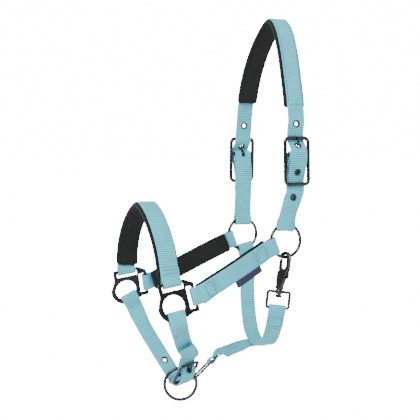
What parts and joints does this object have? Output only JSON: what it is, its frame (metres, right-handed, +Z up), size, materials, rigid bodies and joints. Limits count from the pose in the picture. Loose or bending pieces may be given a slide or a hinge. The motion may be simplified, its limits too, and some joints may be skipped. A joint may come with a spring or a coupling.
{
  "type": "head halter",
  "caption": "Webbing headcollar with lined poll, nose and cheek straps, cast side plates, rings, tongue buckles and a throat strap with a swivel hook.",
  "frame": {"origin": "middle of the lining's inner face where it rests on the poll", "axes": "+Z up, nose towards -Y, the horse's left (near) side at +X"},
  "size_m": [0.1843, 0.2164, 0.4955],
  "materials": {
    "chin_buckle_frame": "polished gunmetal plating",
    "chin_buckle_tongue": "polished gunmetal plating",
    "chin_eyelet_1": "polished gunmetal plating",
    "chin_eyelet_2": "polished gunmetal plating",
    "chin_link": "polished gunmetal plating",
    "connecting_strap": "woven nylon webbing",
    "crown_pad": "neoprene foam, matt",
    "crown_strap": "woven nylon webbing",
    "far_cheek_pad": "neoprene foam, matt",
    "far_cheek_ring": "polished gunmetal plating",
    "far_cheek_strap": "woven nylon webbing",
    "far_chin_strap": "woven nylon webbing",
    "far_crown_buckle_frame": "polished gunmetal plating",
    "far_crown_buckle_strap": "woven nylon webbing",
    "far_crown_buckle_tongue": "polished gunmetal plating",
    "far_crown_eyelet_1": "polished gunmetal plating",
    "far_crown_eyelet_2": "polished gunmetal plating",
    "far_crown_eyelet_3": "polished gunmetal plating",
    "far_crown_eyelet_4": "polished gunmetal plating",
    "far_side_plate": "dark satin casting",
    "label_tag": "plain woven tag",
    "lead_ring": "polished gunmetal plating",
    "near_cheek_pad": "neoprene foam, matt",
    "near_cheek_ring": "polished gunmetal plating",
    "near_cheek_strap": "woven nylon webbing",
    "near_chin_strap": "woven nylon webbing",
    "near_crown_buckle_frame": "polished gunmetal plating",
    "near_crown_buckle_strap": "woven nylon webbing",
    "near_crown_buckle_tongue": "polished gunmetal plating",
    "near_crown_eyelet_1": "polished gunmetal plating",
    "near_crown_eyelet_2": "polished gunmetal plating",
    "near_crown_eyelet_3": "polished gunmetal plating",
    "near_crown_eyelet_4": "polished gunmetal plating",
    "near_side_plate": "dark satin casting",
    "noseband_pad": "neoprene foam, matt",
    "noseband_strap": "woven nylon webbing",
    "snap_gate": "polished gunmetal plating",
    "snap_gate_pin": "polished gunmetal plating",
    "snap_gate_spring": "polished gunmetal plating",
    "snap_hook_body": "polished gunmetal plating",
    "snap_swivel_eye": "polished gunmetal plating",
    "throat_strap": "woven nylon webbing"
  },
  "bodies": {
    "halter": {"chin_buckle_frame": "chin_buckle_frame", "chin_eyelet_1": "chin_eyelet_1", "chin_eyelet_2": "chin_eyelet_2", "chin_link": "chin_link", "connecting_strap": "connecting_strap", "crown_pad": "crown_pad", "crown_strap": "crown_strap", "far_cheek_pad": "far_cheek_pad", "far_cheek_strap": "far_cheek_strap", "far_chin_strap": "far_chin_strap", "far_crown_buckle_frame": "far_crown_buckle_frame", "far_crown_buckle_strap": "far_crown_buckle_strap", "far_crown_eyelet_1": "far_crown_eyelet_1", "far_crown_eyelet_2": "far_crown_eyelet_2", "far_crown_eyelet_3": "far_crown_eyelet_3", "far_crown_eyelet_4": "far_crown_eyelet_4", "far_side_plate": "far_side_plate", "label_tag": "label_tag", "near_cheek_pad": "near_cheek_pad", "near_cheek_strap": "near_cheek_strap", "near_chin_strap": "near_chin_strap", "near_crown_buckle_frame": "near_crown_buckle_frame", "near_crown_buckle_strap": "near_crown_buckle_strap", "near_crown_eyelet_1": "near_crown_eyelet_1", "near_crown_eyelet_2": "near_crown_eyelet_2", "near_crown_eyelet_3": "near_crown_eyelet_3", "near_crown_eyelet_4": "near_crown_eyelet_4", "near_side_plate": "near_side_plate", "noseband_pad": "noseband_pad", "noseband_strap": "noseband_strap", "snap_swivel_eye": "snap_swivel_eye", "throat_strap": "throat_strap"},
    "near_ring": {"near_cheek_ring": "near_cheek_ring"},
    "far_ring": {"far_cheek_ring": "far_cheek_ring"},
    "lead_ring": {"lead_ring": "lead_ring"},
    "near_tongue": {"near_crown_buckle_tongue": "near_crown_buckle_tongue"},
    "far_tongue": {"far_crown_buckle_tongue": "far_crown_buckle_tongue"},
    "chin_tongue": {"chin_buckle_tongue": "chin_buckle_tongue"},
    "snap": {"snap_hook_body": "snap_hook_body", "snap_gate_pin": "snap_gate_pin", "snap_gate_spring": "snap_gate_spring"},
    "gate": {"snap_gate": "snap_gate"}
  },
  "joints": [
    {"name": "near_ring_spin", "type": "hinge", "parent": "halter", "child": "near_ring", "pos_m": [0.061, -0.018, -0.28075], "axis": [1, 0, 0], "continuous": true},
    {"name": "far_ring_spin", "type": "hinge", "parent": "halter", "child": "far_ring", "pos_m": [-0.061, -0.018, -0.28075], "axis": [1, 0, 0], "continuous": true},
    {"name": "lead_ring_spin", "type": "hinge", "parent": "halter", "child": "lead_ring", "pos_m": [0.001, -0.1384, -0.46625], "axis": [0.9584, -0.2855, 0], "continuous": true},
    {"name": "near_tongue_lift", "type": "hinge", "parent": "halter", "child": "near_tongue", "pos_m": [0.07674, -0.0112, -0.17075], "axis": [0, 1, 0], "range_deg": [0, 3]},
    {"name": "far_tongue_lift", "type": "hinge", "parent": "halter", "child": "far_tongue", "pos_m": [-0.07674, -0.0112, -0.17075], "axis": [0, -1, 0], "range_deg": [0, 3]},
    {"name": "chin_tongue_lift", "type": "hinge", "parent": "halter", "child": "chin_tongue", "pos_m": [0.0218, -0.1401, -0.44745], "axis": [-0.3237, 0.9391, 0.1151], "range_deg": [0, 3]},
    {"name": "snap_swivel", "type": "hinge", "parent": "halter", "child": "snap", "pos_m": [0.05681, -0.0246, -0.34275], "axis": [0, 0.12, 0.9928], "range_deg": [-2, 2]},
    {"name": "gate_open", "type": "hinge", "parent": "snap", "child": "gate", "pos_m": [0.05914, -0.02128, -0.32301], "axis": [-0.3674, 0.9234, -0.1116], "range_deg": [0, 16], "stiffness_Nm_per_rad": 0.005, "springref_deg": -6.88, "deforming": ["snap_gate_spring"]}
  ]
}
